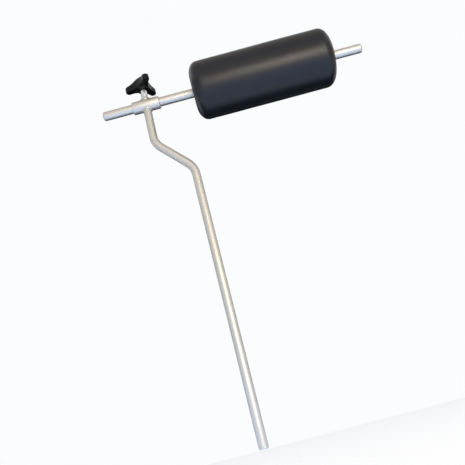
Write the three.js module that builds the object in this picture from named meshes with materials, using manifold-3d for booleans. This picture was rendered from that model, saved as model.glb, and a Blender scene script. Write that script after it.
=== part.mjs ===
// Padded roller support: a cranked round post with a sleeve across its top, a round bar that slides
// in the sleeve under a three-lobed clamp knob, and a padded roller that turns on the bar.
//
// Units are millimetres and +Z is up. The origin is the centre of the post's lower end face, on the
// axis of the shank that a rail clamp grips. The bar runs along X, with the roller towards +X.

import * as THREE from 'three';
import { mergeVertices } from 'three/addons/utils/BufferGeometryUtils.js';
import Module from 'manifold-3d';

const wasm = await Module();
wasm.setup();

// ---------------------------------------------------------------- driving dimensions

// Post: round rod, shank below, cranked towards -X, upper leg under the sleeve.
const POST_DIAMETER = 16;
const BAR_HEIGHT = 660;
const CRANK_OFFSET = 63;
const CRANK_UPPER_DROP = 88.5;
const CRANK_LOWER_DROP = 159.5;
const CRANK_BEND_RADIUS = 42;
const FOOT_CHAMFER = 1.5;

// Bar: lengths measured from the middle of the sleeve.
const BAR_DIAMETER = 18;
const BAR_TAIL = 87;
const BAR_REACH = 435;
const BAR_END_RADIUS = 4;

// Sleeve and boss, welded to the post.
const SLEEVE_LENGTH = 54;
const SLEEVE_WALL = 3.2;
const SLEEVE_CHAMFER = 0.8;
const BOSS_WALL = 2.95;
const BOSS_HEIGHT = 5;
const BOSS_CHAMFER = 0.8;
const WELD_BEAD_RADIUS = 2;
const WELD_BEAD_INSET = 0.6;

// Clamp screw and knob.
const STUD_DIAMETER = 10;
const STUD_IN_HUB = 9;
const STUD_CHAMFER = 1;
const THRUST_PAD_PLAY = 0.8;
const THRUST_PAD_THICKNESS = 3.6;
const THRUST_PIP_DIAMETER = 3.6;
const THRUST_PIP_LENGTH = 1.6;
const HUB_WALL = 1.2;
const HUB_CHAMFER = 0.8;
const HUB_STANDOFF = 1.5;
const HUB_EXPOSED = 18;
const HUB_IN_KNOB = 9;
const KNOB_TURN = -0.05;
const KNOB_TIP_RADIUS = 34.5;
const KNOB_LOBE_WIDTH = 13.5;
const KNOB_VALLEY_RADIUS = 13;
const KNOB_THICKNESS = 12;
const KNOB_EDGE_RADIUS = 2;
const KNOB_SKIRT_RADIUS = 13;
const KNOB_SKIRT_HEIGHT = 3;
const KNOB_SKIRT_CHAMFER = 1;
const KNOB_CROWN_RADIUS = 13;
const KNOB_CROWN_TOP_RADIUS = 9;
const KNOB_CROWN_HEIGHT = 9.5;
const KNOB_LOBES = 3;
const CAP_DIAMETER = 13;
const CAP_THICKNESS = 2;
const CAP_PROUD = 0.6;

// Roller: lengths measured along the bar.
const ROLLER_DIAMETER = 114;
const ROLLER_LENGTH = 279;
const ROLLER_START = 95;
const ROLLER_CORNER_ALONG = 20;
const ROLLER_CORNER_ACROSS = 28;
const COVER_THICKNESS = 2;
const CORE_WALL = 2;
const CORE_RECESS = 0.8;
const BUSH_WALL = 4.4;
const BUSH_LENGTH = 25;
const BUSH_INSET = 9;
const WASHER_THICKNESS = 1;
const WASHER_RIM_PLAY = 1.3;
const CIRCLIP_THICKNESS = 1.2;
const CIRCLIP_WIDTH = 2.8;
const CIRCLIP_LUG_RADIUS = 1.9;
const CIRCLIP_LUG_HOLE_RADIUS = 0.8;
const CIRCLIP_GAP_HALF_ANGLE = 0.35;
const CIRCLIP_GROOVE_DEPTH = 0.5;

// Clearances between neighbouring pieces.
const RUNNING_GAP = 0.3;
const SEAT_GAP = 0.3;
const GROOVE_SIDE_GAP = 0.2;

// Facets of round pieces.
const FACETS_LARGE = 40;
const FACETS_SMALL = 24;
const LUG_FACETS = 8;
const WELD_FACETS = 8;
const KNOB_CURVE_SEGMENTS = 4;
const BEND_STEPS = 6;
const ARC_STEPS = 4;

// ---------------------------------------------------------------- sizes that follow

// Heights below are measured from the bar's axis, except on the post.
const postRadius = POST_DIAMETER / 2;
const barRadius = BAR_DIAMETER / 2;
const sleeveX = -CRANK_OFFSET;
const sleeveBore = barRadius + RUNNING_GAP;
const sleeveRadius = sleeveBore + SLEEVE_WALL;
const studRadius = STUD_DIAMETER / 2;
const studHole = studRadius + RUNNING_GAP;
const bossRadius = studHole + BOSS_WALL;
const bossTop = sleeveRadius + BOSS_HEIGHT;

const thrustPadRadius = studHole - THRUST_PAD_PLAY;
const thrustPadTop = barRadius + SEAT_GAP + THRUST_PAD_THICKNESS;
const studBottom = thrustPadTop + SEAT_GAP;
const hubRadius = studHole + HUB_WALL;
const hubBottom = bossTop + HUB_STANDOFF;
const studTop = hubBottom + STUD_IN_HUB;
const knobBottom = hubBottom + HUB_EXPOSED;
const hubTop = knobBottom + HUB_IN_KNOB;
const lobeBottom = knobBottom + KNOB_SKIRT_HEIGHT;
const knobTop = lobeBottom + KNOB_THICKNESS;
const crownTop = knobTop + KNOB_CROWN_HEIGHT;
const capRadius = CAP_DIAMETER / 2;

const rollerRadius = ROLLER_DIAMETER / 2;
const rollerHalf = ROLLER_LENGTH / 2;
const rollerMiddle = ROLLER_START + rollerHalf;
const bushBore = barRadius + RUNNING_GAP;
const bushRadius = bushBore + BUSH_WALL;
const coreBore = bushRadius + SEAT_GAP;
const coreRadius = coreBore + CORE_WALL;
const foamBore = coreRadius + SEAT_GAP;
const washerRadius = coreBore - WASHER_RIM_PLAY;
const bushFace = rollerHalf - BUSH_INSET;
const washerFace = bushFace + RUNNING_GAP;
const circlipFace = washerFace + WASHER_THICKNESS + RUNNING_GAP;
const grooveRadius = barRadius - CIRCLIP_GROOVE_DEPTH;

// ---------------------------------------------------------------- materials

const standard = (color, roughness, metalness) =>
  new THREE.MeshStandardMaterial({ color, roughness, metalness });

const stainless = () => standard(0xc9c6c0, 0.28, 1);
const weldMetal = () => standard(0xaaa59c, 0.5, 1);
const springSteel = () => standard(0x3c3d40, 0.4, 1);
const brass = () => standard(0xb5903f, 0.35, 1);
const blackPlastic = () => standard(0x17191a, 0.3, 0);
const blackCover = () => standard(0x17181c, 0.42, 0);
const paleFoam = () => standard(0xd8cfa8, 0.95, 0);
const whitePlastic = () => standard(0xd9d8d2, 0.5, 0);
const greyPlastic = () => standard(0x8c8f92, 0.5, 0);

// ---------------------------------------------------------------- solid helpers

/** Turn a closed geometry into a manifold solid. */
function solidOf(geometry) {
  const bare = geometry.clone();
  bare.deleteAttribute('normal');
  bare.deleteAttribute('uv');
  const welded = mergeVertices(bare, 1e-4);
  return new wasm.Manifold(new wasm.Mesh({
    numProp: 3,
    vertProperties: new Float32Array(welded.attributes.position.array),
    triVerts: new Uint32Array(welded.index.array),
  }));
}

/** Turn a manifold solid back into a geometry. */
function geometryOf(solid) {
  const mesh = solid.getMesh();
  const geometry = new THREE.BufferGeometry();
  geometry.setAttribute('position', new THREE.BufferAttribute(mesh.vertProperties, 3));
  geometry.setIndex(new THREE.BufferAttribute(mesh.triVerts, 1));
  geometry.computeVertexNormals();
  return geometry;
}

/** Cut any number of tool geometries from a body geometry. */
function cut(body, ...tools) {
  return geometryOf(tools.reduce((solid, tool) => solid.subtract(solidOf(tool)), solidOf(body)));
}

/** Join any number of geometries to a body geometry. */
function join(body, ...others) {
  return geometryOf(others.reduce((solid, other) => solid.add(solidOf(other)), solidOf(body)));
}

/** Solid of revolution about +Z from [radius, height] pairs that start and end on the axis. */
function turned(profile, facets) {
  const points = profile.map(([radius, height]) => new THREE.Vector2(radius, height));
  return new THREE.LatheGeometry(points, facets).rotateX(Math.PI / 2);
}

/** Solid of revolution about +Z whose section is a closed ring of [radius, height] pairs. */
function turnedRing(profile, facets) {
  return turned([...profile, profile[0]], facets);
}

/** Plain cylinder about +Z between two heights. */
function cylinder(radius, low, high, facets) {
  return turned([[0, low], [radius, low], [radius, high], [0, high]], facets);
}

/** Plain tube about +Z between two heights. */
function tube(bore, radius, low, high, facets) {
  return turnedRing([[bore, low], [radius, low], [radius, high], [bore, high]], facets);
}

/** Cylinder along X through the sleeve's middle, which pieces that fit round it are cut with. */
function crossCylinder(radius) {
  return cylinder(radius, -SLEEVE_LENGTH, SLEEVE_LENGTH, FACETS_LARGE).rotateY(Math.PI / 2);
}

/** Quarter of an ellipse in a [radius, height] profile, from a lower angle to a higher one. */
function quarter(centreRadius, centreHeight, across, along, fromAngle) {
  return Array.from({ length: ARC_STEPS + 1 }, (_, step) => {
    const angle = fromAngle + (Math.PI / 2) * step / ARC_STEPS;
    return [centreRadius + across * Math.cos(angle), centreHeight + along * Math.sin(angle)];
  });
}

/** A named mesh for one piece. */
function piece(name, geometry, material) {
  const mesh = new THREE.Mesh(geometry, material);
  mesh.name = name;
  return mesh;
}

// ---------------------------------------------------------------- post

/** Curve that hands its own stations, each a point and a tangent, to an extrusion. */
class StationCurve extends THREE.Curve {
  constructor(stations) {
    super();
    this.stations = stations;
  }

  stationAt(u) {
    return this.stations[Math.round(u * (this.stations.length - 1))];
  }

  getPointAt(u) {
    return this.stationAt(u).point.clone();
  }

  getTangentAt(u) {
    return this.stationAt(u).tangent.clone();
  }
}

/** Stations up the post: the shank, a bend, the slanted run, a bend back, the upper leg. */
function postStations() {
  const lowerCorner = new THREE.Vector2(0, BAR_HEIGHT - CRANK_LOWER_DROP);
  const upperCorner = new THREE.Vector2(sleeveX, BAR_HEIGHT - CRANK_UPPER_DROP);
  const slant = upperCorner.clone().sub(lowerCorner);
  const bendAngle = Math.atan2(-slant.x, slant.y);
  const setback = CRANK_BEND_RADIUS * Math.tan(bendAngle / 2);
  const stations = [];
  const add = (x, z, lean) => stations.push({
    point: new THREE.Vector3(x, 0, z),
    tangent: new THREE.Vector3(-Math.sin(lean), 0, Math.cos(lean)),
  });
  const addBend = (startX, startZ, side, leans) => leans.forEach((lean) => add(
    startX - side * CRANK_BEND_RADIUS * (1 - Math.cos(lean)),
    startZ + side * CRANK_BEND_RADIUS * Math.sin(lean),
    lean,
  ));
  const leans = Array.from({ length: BEND_STEPS + 1 }, (_, step) => bendAngle * step / BEND_STEPS);
  add(0, 0, 0);
  addBend(0, lowerCorner.y - setback, 1, leans);
  addBend(sleeveX, upperCorner.y + setback, -1, [...leans].reverse());
  add(sleeveX, BAR_HEIGHT, 0);
  return stations;
}

function makePost() {
  const section = new THREE.Shape().absarc(0, 0, postRadius, 0, 2 * Math.PI, false);
  const stations = postStations();
  const rod = new THREE.ExtrudeGeometry(section, {
    steps: stations.length - 1,
    curveSegments: FACETS_SMALL / 2,
    bevelEnabled: false,
    extrudePath: new StationCurve(stations),
  });
  const margin = 2;
  const footCutter = turnedRing([
    [postRadius - FOOT_CHAMFER - margin, -margin],
    [postRadius + margin, -margin],
    [postRadius + margin, FOOT_CHAMFER + margin],
  ], FACETS_SMALL);
  const saddle = crossCylinder(sleeveRadius + SEAT_GAP).translate(sleeveX, 0, BAR_HEIGHT);
  return piece('post', cut(rod, footCutter, saddle), stainless());
}

// ---------------------------------------------------------------- sleeve, boss and welds

function makeSleeve() {
  const half = SLEEVE_LENGTH / 2;
  const blank = turnedRing([
    [sleeveBore + SLEEVE_CHAMFER, -half],
    [sleeveRadius - SLEEVE_CHAMFER, -half],
    [sleeveRadius, -half + SLEEVE_CHAMFER],
    [sleeveRadius, half - SLEEVE_CHAMFER],
    [sleeveRadius - SLEEVE_CHAMFER, half],
    [sleeveBore + SLEEVE_CHAMFER, half],
    [sleeveBore, half - SLEEVE_CHAMFER],
    [sleeveBore, -half + SLEEVE_CHAMFER],
  ], FACETS_LARGE).rotateY(Math.PI / 2);
  const screwHole = cylinder(studHole, 0, bossTop, FACETS_SMALL);
  return piece('cross_sleeve', cut(blank, screwHole), stainless());
}

function makeBoss() {
  const blank = turnedRing([
    [studHole, 0],
    [bossRadius, 0],
    [bossRadius, bossTop - BOSS_CHAMFER],
    [bossRadius - BOSS_CHAMFER, bossTop],
    [studHole + BOSS_CHAMFER, bossTop],
    [studHole, bossTop - BOSS_CHAMFER],
  ], FACETS_SMALL);
  return piece('clamp_boss', cut(blank, crossCylinder(sleeveRadius + SEAT_GAP)), stainless());
}

/** Fillet bead round a round leg, above (side 1) or below (side -1) the sleeve it stands on. */
function makeWeld(name, legRadius, side) {
  const reach = legRadius + WELD_BEAD_INSET;
  const seat = sleeveRadius + WELD_BEAD_INSET;
  const bead = new THREE.TorusGeometry(reach, WELD_BEAD_RADIUS, WELD_FACETS, FACETS_SMALL);
  const spots = bead.attributes.position;
  for (let index = 0; index < spots.count; index += 1) {
    const angle = Math.atan2(spots.getY(index), spots.getX(index));
    const rise = Math.sqrt(seat ** 2 - (reach * Math.sin(angle)) ** 2);
    spots.setZ(index, spots.getZ(index) + side * rise);
  }
  const far = side * (seat + 2 * WELD_BEAD_RADIUS);
  const leg = cylinder(legRadius + SEAT_GAP, Math.min(0, far), Math.max(0, far), FACETS_SMALL);
  return piece(name, cut(bead, leg, crossCylinder(sleeveRadius + SEAT_GAP)), weldMetal());
}

// ---------------------------------------------------------------- clamp screw

function makeThrustPad() {
  const socket = THRUST_PIP_DIAMETER / 2 + RUNNING_GAP;
  const socketFloor = thrustPadTop - THRUST_PIP_LENGTH;
  const blank = turned([
    [0, 0],
    [thrustPadRadius, 0],
    [thrustPadRadius, thrustPadTop],
    [socket, thrustPadTop],
    [socket, socketFloor],
    [0, socketFloor],
  ], FACETS_SMALL);
  return piece('thrust_pad', cut(blank, crossCylinder(barRadius + SEAT_GAP)), brass());
}

function makeStud() {
  const pip = THRUST_PIP_DIAMETER / 2;
  const rod = turned([
    [0, studBottom - THRUST_PIP_LENGTH],
    [pip, studBottom - THRUST_PIP_LENGTH],
    [pip, studBottom],
    [studRadius - STUD_CHAMFER, studBottom],
    [studRadius, studBottom + STUD_CHAMFER],
    [studRadius, studTop],
    [0, studTop],
  ], FACETS_SMALL);
  return piece('clamp_stud', rod, stainless());
}

function makeHub() {
  const hub = turned([
    [0, studTop + SEAT_GAP],
    [studHole, studTop + SEAT_GAP],
    [studHole, hubBottom],
    [hubRadius - HUB_CHAMFER, hubBottom],
    [hubRadius, hubBottom + HUB_CHAMFER],
    [hubRadius, hubTop],
    [0, hubTop],
  ], FACETS_SMALL);
  return piece('knob_hub', hub, stainless());
}

/** Plan of the knob: round lobe tips joined by hollow arcs that are tangent to them, first to -X. */
function knobPlan() {
  const pitch = 2 * Math.PI / KNOB_LOBES;
  const tipRadius = KNOB_LOBE_WIDTH / 2;
  const tipCentre = KNOB_TIP_RADIUS - tipRadius;
  const step = tipRadius - KNOB_VALLEY_RADIUS;
  const hollowCentre = (tipCentre ** 2 - step ** 2) / (2 * (tipCentre * Math.cos(pitch / 2) + step));
  const hollowRadius = hollowCentre - KNOB_VALLEY_RADIUS;
  const tipHalfAngle = Math.atan2(
    hollowCentre * Math.sin(pitch / 2),
    hollowCentre * Math.cos(pitch / 2) - tipCentre,
  );
  const plan = new THREE.Shape();
  for (let lobe = 0; lobe < KNOB_LOBES; lobe += 1) {
    const heading = Math.PI + KNOB_TURN + lobe * pitch;
    const next = heading + pitch;
    const between = heading + pitch / 2;
    plan.absarc(
      tipCentre * Math.cos(heading),
      tipCentre * Math.sin(heading),
      tipRadius,
      heading - tipHalfAngle,
      heading + tipHalfAngle,
      false,
    );
    plan.absarc(
      hollowCentre * Math.cos(between),
      hollowCentre * Math.sin(between),
      hollowRadius,
      heading + tipHalfAngle + Math.PI,
      next - tipHalfAngle + Math.PI,
      true,
    );
  }
  return plan;
}

function makeKnob() {
  const lobes = new THREE.ExtrudeGeometry(knobPlan(), {
    depth: KNOB_THICKNESS - 2 * KNOB_EDGE_RADIUS,
    curveSegments: KNOB_CURVE_SEGMENTS,
    bevelSize: KNOB_EDGE_RADIUS,
    bevelOffset: -KNOB_EDGE_RADIUS,
    bevelThickness: KNOB_EDGE_RADIUS,
    bevelSegments: 3,
  }).translate(0, 0, lobeBottom + KNOB_EDGE_RADIUS);
  const crownBase = knobTop - KNOB_EDGE_RADIUS;
  const crownShoulder = KNOB_CROWN_RADIUS - KNOB_CROWN_TOP_RADIUS;
  const crown = turned([
    [0, crownBase],
    [KNOB_CROWN_RADIUS, crownBase],
    ...quarter(KNOB_CROWN_TOP_RADIUS, knobTop, crownShoulder, KNOB_CROWN_HEIGHT, 0),
    [0, crownTop],
  ], FACETS_SMALL);
  const skirt = turned([
    [0, knobBottom],
    [KNOB_SKIRT_RADIUS - KNOB_SKIRT_CHAMFER, knobBottom],
    [KNOB_SKIRT_RADIUS, knobBottom + KNOB_SKIRT_CHAMFER],
    [KNOB_SKIRT_RADIUS, knobTop - KNOB_EDGE_RADIUS],
    [0, knobTop - KNOB_EDGE_RADIUS],
  ], FACETS_SMALL);
  const hubSocket = cylinder(hubRadius + SEAT_GAP, 0, hubTop + SEAT_GAP, FACETS_SMALL);
  const recessFloor = crownTop - CAP_THICKNESS;
  const capRecess = cylinder(capRadius + SEAT_GAP, recessFloor, crownTop + 1, FACETS_SMALL);
  return piece('knob', cut(join(lobes, skirt, crown), hubSocket, capRecess), blackPlastic());
}

function makeCap() {
  const capBottom = crownTop - CAP_THICKNESS + SEAT_GAP;
  const capTop = crownTop + CAP_PROUD;
  const cap = turned([
    [0, capBottom],
    [capRadius, capBottom],
    [capRadius, capTop - CAP_PROUD],
    [capRadius - CAP_PROUD, capTop],
    [0, capTop],
  ], FACETS_SMALL);
  return piece('knob_cap', cap, blackPlastic());
}

// ---------------------------------------------------------------- bar

/** Bar along +Z, with its origin at the sleeve's middle and a groove for each retaining ring. */
function makeBar() {
  const groove = (low, high) => [
    [barRadius, low],
    [grooveRadius, low],
    [grooveRadius, high],
    [barRadius, high],
  ];
  const grooveNear = circlipFace - GROOVE_SIDE_GAP;
  const grooveFar = circlipFace + CIRCLIP_THICKNESS + GROOVE_SIDE_GAP;
  const shoulder = barRadius - BAR_END_RADIUS;
  const rod = turned([
    [0, -BAR_TAIL],
    ...quarter(shoulder, BAR_END_RADIUS - BAR_TAIL, BAR_END_RADIUS, BAR_END_RADIUS, -Math.PI / 2),
    ...groove(rollerMiddle - grooveFar, rollerMiddle - grooveNear),
    ...groove(rollerMiddle + grooveNear, rollerMiddle + grooveFar),
    ...quarter(shoulder, BAR_REACH - BAR_END_RADIUS, BAR_END_RADIUS, BAR_END_RADIUS, 0),
    [0, BAR_REACH],
  ], FACETS_LARGE);
  return piece('bar', rod, stainless());
}

// ---------------------------------------------------------------- roller, about +Z from its middle

/** Outer side of the padded roller, set in by an offset, from its lower end face to its upper. */
function rollerSide(inset) {
  const across = ROLLER_CORNER_ACROSS - inset;
  const along = ROLLER_CORNER_ALONG - inset;
  const centreRadius = rollerRadius - ROLLER_CORNER_ACROSS;
  const centreHeight = rollerHalf - ROLLER_CORNER_ALONG;
  return [
    ...quarter(centreRadius, -centreHeight, across, along, -Math.PI / 2),
    ...quarter(centreRadius, centreHeight, across, along, 0),
  ];
}

function makeCover() {
  const outside = rollerSide(0);
  const inside = rollerSide(COVER_THICKNESS).reverse();
  const skin = turnedRing([
    [foamBore, -rollerHalf],
    ...outside,
    [foamBore, rollerHalf],
    [foamBore, rollerHalf - COVER_THICKNESS],
    ...inside,
    [foamBore, COVER_THICKNESS - rollerHalf],
  ], FACETS_LARGE);
  return piece('roller_cover', skin, blackCover());
}

function makeFoam() {
  const inset = COVER_THICKNESS + SEAT_GAP;
  const foam = turnedRing([
    [foamBore, inset - rollerHalf],
    ...rollerSide(inset),
    [foamBore, rollerHalf - inset],
  ], FACETS_LARGE);
  return piece('foam_roll', foam, paleFoam());
}

function makeCore() {
  const end = rollerHalf - CORE_RECESS;
  return piece('core_tube', tube(coreBore, coreRadius, -end, end, FACETS_SMALL), greyPlastic());
}

/** Place a piece made for the upper end of the roller at that end (1) or the lower end (-1). */
function atEnd(side, mesh) {
  mesh.rotation.set(side > 0 ? 0 : Math.PI, 0, 0);
  return mesh;
}

function makeBush(name) {
  const bush = tube(bushBore, bushRadius, bushFace - BUSH_LENGTH, bushFace, FACETS_SMALL);
  return piece(name, bush, whitePlastic());
}

function makeWasher(name) {
  const top = washerFace + WASHER_THICKNESS;
  return piece(name, tube(bushBore, washerRadius, washerFace, top, FACETS_SMALL), stainless());
}

/** Open retaining ring with two holed lugs at its gap. */
function makeCirclip(name) {
  const inner = grooveRadius + GROOVE_SIDE_GAP;
  const outer = inner + CIRCLIP_WIDTH;
  const gap = CIRCLIP_GAP_HALF_ANGLE;
  const plan = new THREE.Shape();
  plan.absarc(0, 0, outer, gap, 2 * Math.PI - gap, false);
  plan.absarc(0, 0, inner, 2 * Math.PI - gap, gap, true);
  const slab = { depth: CIRCLIP_THICKNESS, curveSegments: FACETS_SMALL / 2, bevelEnabled: false };
  const ring = new THREE.ExtrudeGeometry(plan, slab);
  const lugDistance = outer - CIRCLIP_LUG_RADIUS / 2;
  const lugAngle = gap + CIRCLIP_LUG_RADIUS / lugDistance;
  const lugs = [-lugAngle, lugAngle].map((angle) => [
    lugDistance * Math.cos(angle),
    lugDistance * Math.sin(angle),
  ]);
  const discs = lugs.map(([x, y]) => (
    cylinder(CIRCLIP_LUG_RADIUS, 0, CIRCLIP_THICKNESS, LUG_FACETS).translate(x, y, 0)
  ));
  const holes = lugs.map(([x, y]) => (
    cylinder(CIRCLIP_LUG_HOLE_RADIUS, -1, CIRCLIP_THICKNESS + 1, LUG_FACETS).translate(x, y, 0)
  ));
  const clip = cut(join(ring, ...discs), ...holes).translate(0, 0, circlipFace);
  return piece(name, clip, springSteel());
}

// ---------------------------------------------------------------- assembly

/** The head: everything that stands on the sleeve, about the sleeve's middle. */
function makeHead() {
  const head = new THREE.Group();
  head.position.set(sleeveX, 0, BAR_HEIGHT);
  head.add(
    makeSleeve(),
    makeBoss(),
    makeWeld('post_weld', postRadius, -1),
    makeWeld('boss_weld', bossRadius, 1),
    makeThrustPad(),
    makeStud(),
    makeHub(),
    makeKnob(),
    makeCap(),
  );
  return head;
}

/** The roller with what it turns on, about +Z from its middle. */
function makeRoller() {
  const roller = new THREE.Group();
  roller.position.set(0, 0, rollerMiddle);
  roller.add(
    makeCover(),
    makeFoam(),
    makeCore(),
    atEnd(-1, makeBush('bush_left')),
    atEnd(1, makeBush('bush_right')),
    atEnd(-1, makeWasher('washer_left')),
    atEnd(1, makeWasher('washer_right')),
    atEnd(-1, makeCirclip('circlip_left')),
    atEnd(1, makeCirclip('circlip_right')),
  );
  return roller;
}

/** The bar and the roller, turned so that their +Z lies along +X. */
function makeCrossBar() {
  const crossBar = new THREE.Group();
  crossBar.position.set(sleeveX, 0, BAR_HEIGHT);
  crossBar.rotation.set(0, Math.PI / 2, 0);
  crossBar.add(makeBar(), makeRoller());
  return crossBar;
}

const support = new THREE.Group();
support.add(makePost(), makeHead(), makeCrossBar());

export default support;
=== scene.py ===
"""Padded roller support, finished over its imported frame.

A cranked stainless post carries a sleeve across its top. A round bar slides in the sleeve under a
three-lobed clamp knob, and a padded roller turns on the bar. Sizes are in millimetres and places
come from the frame; meshes are built in metres, in the frame's own axes. The studio's places are in
metres too.
"""
import logging
import math
from dataclasses import dataclass, field
from enum import Enum
from typing import Callable, Iterable, Sequence

import bmesh
import bpy
from bmesh.types import BMesh, BMVert
from mathutils import Matrix, Vector, noise


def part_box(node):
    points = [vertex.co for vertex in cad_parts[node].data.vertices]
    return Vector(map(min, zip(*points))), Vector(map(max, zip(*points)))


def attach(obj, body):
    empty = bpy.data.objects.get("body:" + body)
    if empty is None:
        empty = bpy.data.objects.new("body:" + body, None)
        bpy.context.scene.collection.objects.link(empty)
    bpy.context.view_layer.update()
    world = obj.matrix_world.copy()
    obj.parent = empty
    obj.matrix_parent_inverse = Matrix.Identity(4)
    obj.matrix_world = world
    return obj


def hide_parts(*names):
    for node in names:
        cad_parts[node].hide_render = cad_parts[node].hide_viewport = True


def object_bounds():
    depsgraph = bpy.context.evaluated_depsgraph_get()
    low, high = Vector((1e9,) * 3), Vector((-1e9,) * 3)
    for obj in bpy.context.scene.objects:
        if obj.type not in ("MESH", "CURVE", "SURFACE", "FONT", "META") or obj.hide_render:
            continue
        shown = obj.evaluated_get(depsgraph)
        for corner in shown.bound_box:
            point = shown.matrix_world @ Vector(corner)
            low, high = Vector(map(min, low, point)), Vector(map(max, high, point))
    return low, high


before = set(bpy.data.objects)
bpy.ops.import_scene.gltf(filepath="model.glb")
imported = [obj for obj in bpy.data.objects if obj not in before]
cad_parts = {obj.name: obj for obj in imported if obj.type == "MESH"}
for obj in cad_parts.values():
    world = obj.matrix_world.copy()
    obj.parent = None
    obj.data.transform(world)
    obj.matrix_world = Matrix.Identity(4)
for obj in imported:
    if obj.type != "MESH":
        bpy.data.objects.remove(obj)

CAD_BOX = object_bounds()
MM = 0.001
# Clearance all round a piece that turns, slides or sits in another, in millimetres.
RUNNING_GAP = 0.3
log = logging.getLogger("roller_support")

Profile = list[tuple[float, float]]
Colour = tuple[float, float, float, float]


class Axis(Enum):
    """The two directions that round pieces are turned about."""

    BAR = Vector((1.0, 0.0, 0.0))
    POST = Vector((0.0, 0.0, 1.0))


class Slot(Enum):
    """Material slots of the record."""

    STAINLESS = "stainless"
    WELD = "weld_metal"
    STUD = "stud_steel"
    SPRING = "spring_steel"
    BRASS = "brass"
    KNOB = "knob_plastic"
    BUSH = "bush_plastic"
    CORE = "core_plastic"
    FOAM = "foam"
    COVER = "cover"


# ---------------------------------------------------------------- places from the frame


def middle_of(node: str) -> Vector:
    """Find the middle of a CAD node's box.

    Args:
        node: Name of the node.

    Returns:
        The middle, in metres.
    """
    low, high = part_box(node)
    return (low + high) / 2


def sizes_of(node: str) -> Vector:
    """Measure a CAD node's box.

    Args:
        node: Name of the node.

    Returns:
        Its sizes along X, Y and Z, in millimetres.
    """
    low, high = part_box(node)
    return (high - low) / MM


# ---------------------------------------------------------------- mesh tools


def turn(profile: Profile, axis: Axis, origin: Vector, steps: int = 96) -> BMesh:
    """Spin a section once round an axis.

    Args:
        profile: Section as (radius, distance along the axis) pairs, in millimetres. It starts and
            ends on the axis, or comes back to its first point.
        axis: Axis to turn about.
        origin: Point on the axis that distances are measured from.
        steps: Number of facets round the piece.

    Returns:
        The closed mesh.
    """
    side = Vector((0.0, 0.0, 1.0)) if axis is Axis.BAR else Vector((1.0, 0.0, 0.0))
    shape = bmesh.new()
    spots = [
        shape.verts.new(origin + (axis.value * along + side * radius) * MM)
        for radius, along in profile
    ]
    edges = [shape.edges.new(pair) for pair in zip(spots, spots[1:])]
    bmesh.ops.spin(
        shape, geom=spots + edges, cent=origin, axis=axis.value, dvec=(0, 0, 0),
        angle=math.tau, steps=steps, use_merge=True, use_normal_flip=False, use_duplicate=False,
    )
    bmesh.ops.remove_doubles(shape, verts=shape.verts, dist=0.0005 * MM)
    bmesh.ops.recalc_face_normals(shape, faces=shape.faces)
    return shape


def ring(profile: Profile) -> Profile:
    """Close a section on its first point."""
    return [*profile, profile[0]]


def quarter_turn(steps: int) -> list[float]:
    """List the angles of a quarter turn, both ends included, in radians."""
    return [math.pi / 2 * step / steps for step in range(steps + 1)]


def add_mesh(shape: BMesh, part: BMesh) -> None:
    """Add a separate closed part to a mesh.

    Args:
        shape: Mesh to add to.
        part: Part to add, which is used up.
    """
    mesh = bpy.data.meshes.new("part")
    part.to_mesh(mesh)
    part.free()
    shape.from_mesh(mesh)
    bpy.data.meshes.remove(mesh)


def soften(shape: BMesh, width: float, segments: int = 3, steeper_than: float = 30.0) -> None:
    """Round every edge that is sharper than an angle.

    Args:
        shape: Mesh to work on.
        width: Width of the rounding, in millimetres.
        segments: Number of facets across the rounding.
        steeper_than: Angle between two faces, in degrees, above which their edge is rounded.
    """
    limit = math.radians(steeper_than)
    sharp = [edge for edge in shape.edges if edge.is_manifold and edge.calc_face_angle() > limit]
    bmesh.ops.bevel(
        shape, geom=sharp, offset=width * MM, offset_type="OFFSET", segments=segments,
        profile=0.5, affect="EDGES", clamp_overlap=True, material=-1,
    )


def start_ring(shape: BMesh, places: Sequence[Vector], capped: bool = True) -> list[BMVert]:
    """Start a loft with one ring of points.

    Args:
        shape: Mesh to add to.
        places: Where the ring's points lie, in order.
        capped: Whether the ring is closed by a face.

    Returns:
        The ring's points.
    """
    made = bmesh.ops.create_circle(shape, cap_ends=capped, segments=len(places), radius=1.0)
    for spot, place in zip(made["verts"], places):
        spot.co = place
    return list(made["verts"])


def grow_ring(shape: BMesh, old: Sequence[BMVert], places: Sequence[Vector]) -> list[BMVert]:
    """Extrude a loft's last ring to new places.

    Args:
        shape: Mesh to add to.
        old: Points of the last ring.
        places: Where the new ring's points lie, in the same order.

    Returns:
        The new ring's points.
    """
    edges = [shape.edges.get((a, b)) for a, b in zip(old, [*old[1:], old[0]])]
    made = bmesh.ops.extrude_edge_only(shape, edges=edges)["geom"]
    fresh = {part for part in made if isinstance(part, BMVert)}
    grown = []
    for spot, place in zip(old, places):
        twin = next(e.other_vert(spot) for e in spot.link_edges if e.other_vert(spot) in fresh)
        twin.co = place
        grown.append(twin)
    return grown


def close_ring(shape: BMesh, last: Sequence[BMVert]) -> None:
    """Close a loft's last ring with a face, and point all faces outwards.

    Args:
        shape: Mesh of the loft.
        last: Points of the last ring.
    """
    edges = [shape.edges.get((a, b)) for a, b in zip(last, [*last[1:], last[0]])]
    bmesh.ops.edgeloop_fill(shape, edges=edges)
    bmesh.ops.recalc_face_normals(shape, faces=shape.faces)


def loft(rings: Iterable[Sequence[Vector]]) -> BMesh:
    """Loft a closed solid through rings of points.

    Args:
        rings: Rings in order, each with the same number of points. The first and the last are
            closed by a face.

    Returns:
        The closed mesh.
    """
    shape = bmesh.new()
    last: list[BMVert] = []
    for places in rings:
        last = grow_ring(shape, last, places) if last else start_ring(shape, places)
    close_ring(shape, last)
    return shape


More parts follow.
